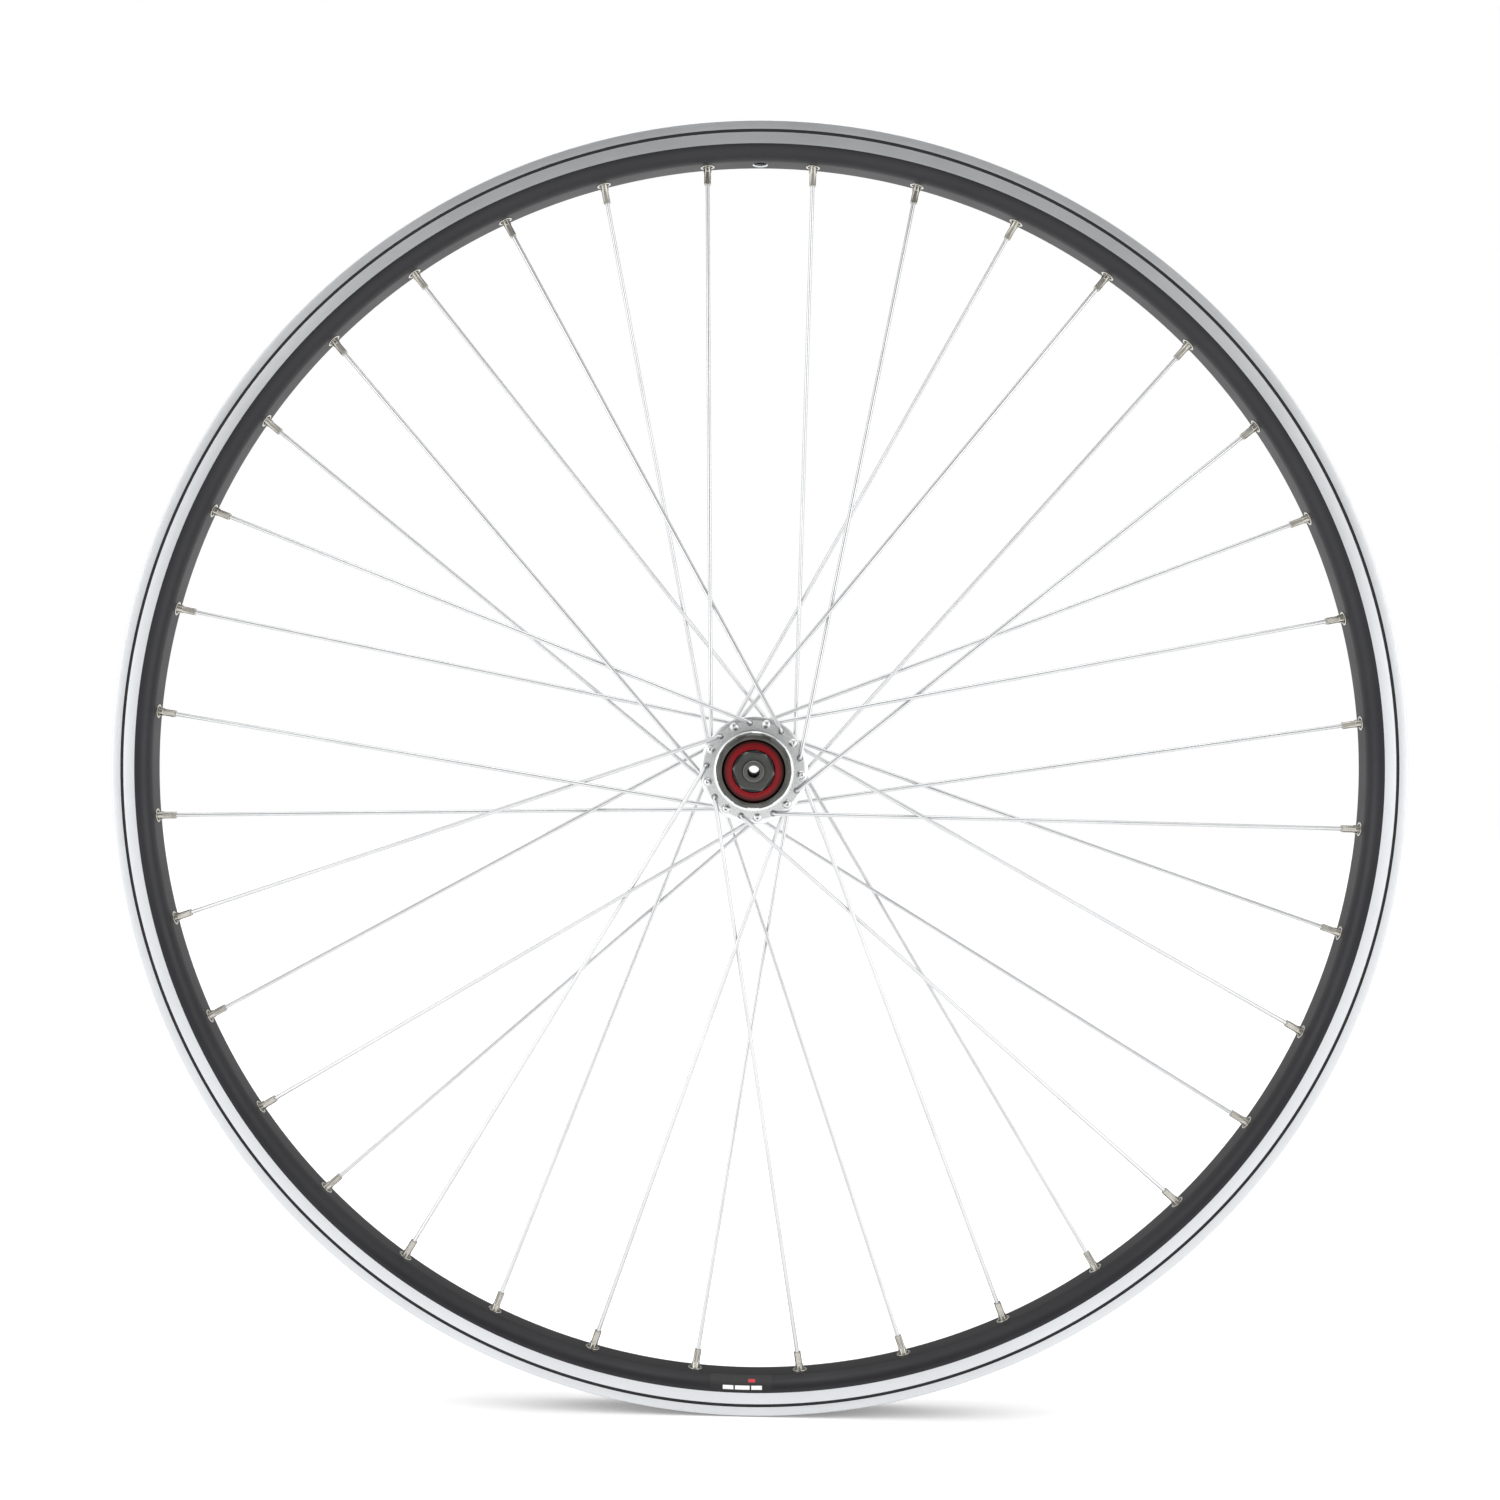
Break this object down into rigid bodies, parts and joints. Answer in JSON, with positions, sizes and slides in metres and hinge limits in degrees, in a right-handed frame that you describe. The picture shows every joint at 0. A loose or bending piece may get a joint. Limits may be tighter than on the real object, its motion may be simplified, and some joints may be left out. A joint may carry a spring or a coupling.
{
  "type": "rear bicycle wheel",
  "caption": "Rear bicycle wheel without tyre: black double-wall rim with bare brake tracks, crossed steel spokes, polished hub with a splined freehub and a hollow quick release axle.",
  "frame": {"origin": "middle of the axle, in the middle plane of the rim", "axes": "+Y along the axle towards the left side, so the drive side faces -Y; +Z through the valve hole; +X to the right as seen from the drive side"},
  "size_m": [0.6345, 0.146, 0.6344],
  "materials": {
    "axle_steel": "turned and threaded, light oil film",
    "bearing_steel": "ground",
    "black_steel": "black oxide, worn on the edges",
    "rim_black": "black anodised, with the brake tracks machined bare",
    "alloy": "as extruded",
    "label": "thin film with plain blocks of colour",
    "eyelet": "nickel plated, pressed",
    "nipple": "nickel plated brass, polished",
    "spoke": "drawn stainless wire, bright",
    "hub_alloy": "polished",
    "seal_rubber": "matt",
    "red_cap": "moulded, glossy",
    "spring_steel": "rolled strip",
    "freehub_steel": "machined, dark",
    "ball": "ground and polished"
  },
  "bodies": {
    "axle_assembly": {"axle": "axle_steel", "right_cone": "bearing_steel", "left_cone": "bearing_steel", "right_washer": "black_steel", "right_cone_seal": "seal_rubber", "left_spacer": "black_steel", "right_locknut": "black_steel", "left_locknut": "black_steel"},
    "wheel": {"rim": "rim_black", "rim_joint_sleeve": "alloy", "rim_label": "label", "drive_eyelets": "eyelet", "left_eyelets": "eyelet", "drive_nipples": "nipple", "left_nipples": "nipple", "drive_trailing_spokes": "spoke", "drive_leading_spokes": "spoke", "left_trailing_spokes": "spoke", "left_leading_spokes": "spoke", "hub_shell": "hub_alloy", "left_bearing_cup": "bearing_steel", "left_dust_cap": "black_steel", "freehub_core": "bearing_steel", "freehub_bolt": "black_steel", "freehub_race": "bearing_steel", "freehub_seal": "seal_rubber", "freehub_dust_cap": "red_cap", "pawl_springs": "spring_steel"},
    "freehub": {"freehub_sleeve": "freehub_steel"},
    "pawl_a": {"pawl_a": "bearing_steel"},
    "pawl_b": {"pawl_b": "bearing_steel"},
    "right_hub_balls": {"right_hub_balls": "ball"},
    "left_hub_balls": {"left_hub_balls": "ball"},
    "outer_sleeve_balls": {"outer_sleeve_balls": "ball"},
    "inner_sleeve_balls": {"inner_sleeve_balls": "ball"}
  },
  "joints": [
    {"name": "wheel_spin", "type": "hinge", "parent": "axle_assembly", "child": "wheel", "pos_m": [0, 0, 0], "axis": [0, 1, 0], "continuous": true},
    {"name": "freehub_spin", "type": "hinge", "parent": "wheel", "child": "freehub", "pos_m": [0, -0.04425, 0], "axis": [0, 1, 0], "continuous": true},
    {"name": "pawl_a_lift", "type": "hinge", "parent": "wheel", "child": "pawl_a", "pos_m": [0.0113, -0.0405, 0], "axis": [0, 1, 0], "range_deg": [0, 13], "stiffness_Nm_per_rad": 0.01},
    {"name": "pawl_b_lift", "type": "hinge", "parent": "wheel", "child": "pawl_b", "pos_m": [-0.0113, -0.0405, 0], "axis": [0, 1, 0], "range_deg": [0, 13], "stiffness_Nm_per_rad": 0.01},
    {"name": "right_balls_orbit", "type": "hinge", "parent": "axle_assembly", "child": "right_hub_balls", "pos_m": [0, -0.0563, 0], "axis": [0, 1, 0], "continuous": true},
    {"name": "left_balls_orbit", "type": "hinge", "parent": "axle_assembly", "child": "left_hub_balls", "pos_m": [0, 0.0445, 0], "axis": [0, 1, 0], "continuous": true},
    {"name": "outer_balls_orbit", "type": "hinge", "parent": "wheel", "child": "outer_sleeve_balls", "pos_m": [0, -0.0512, 0], "axis": [0, 1, 0], "continuous": true},
    {"name": "inner_balls_orbit", "type": "hinge", "parent": "wheel", "child": "inner_sleeve_balls", "pos_m": [0, -0.0295, 0], "axis": [0, 1, 0], "continuous": true}
  ],
  "couplings": [
    {"joint": "right_balls_orbit", "follows": "wheel_spin", "ratio": 0.6194},
    {"joint": "left_balls_orbit", "follows": "wheel_spin", "ratio": 0.6194},
    {"joint": "outer_balls_orbit", "follows": "freehub_spin", "ratio": 0.5437},
    {"joint": "inner_balls_orbit", "follows": "freehub_spin", "ratio": 0.5437}
  ]
}
